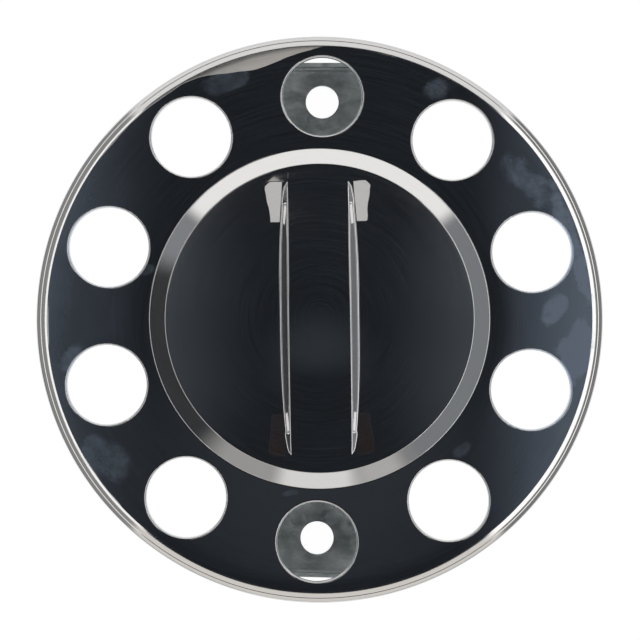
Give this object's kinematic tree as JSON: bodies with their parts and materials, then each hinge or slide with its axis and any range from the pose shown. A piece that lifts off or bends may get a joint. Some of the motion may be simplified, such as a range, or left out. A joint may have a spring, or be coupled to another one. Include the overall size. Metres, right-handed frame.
{
  "type": "truck front wheel cover",
  "caption": "Polished steel cover for a truck's front wheel: rolled edge, ring of rolled nut holes, stepped dome with a raised bar, and stud brackets behind it.",
  "frame": {"origin": "on the wheel's axis, level with the back faces of the two stud brackets, on which the cover lies", "axes": "+Z along the wheel's axis, out of the wheel towards the viewer; the brackets are on the Y axis, with the top bracket at +Y"},
  "size_m": [0.4274, 0.4274, 0.0582],
  "materials": {
    "polished_steel": "mirror polished stainless steel with a fine circular grain",
    "plated_steel": "dull zinc plated"
  },
  "bodies": {
    "root": {"wheel_cover": "polished_steel", "bracket_top": "plated_steel", "bracket_bottom": "plated_steel"}
  },
  "joints": []
}
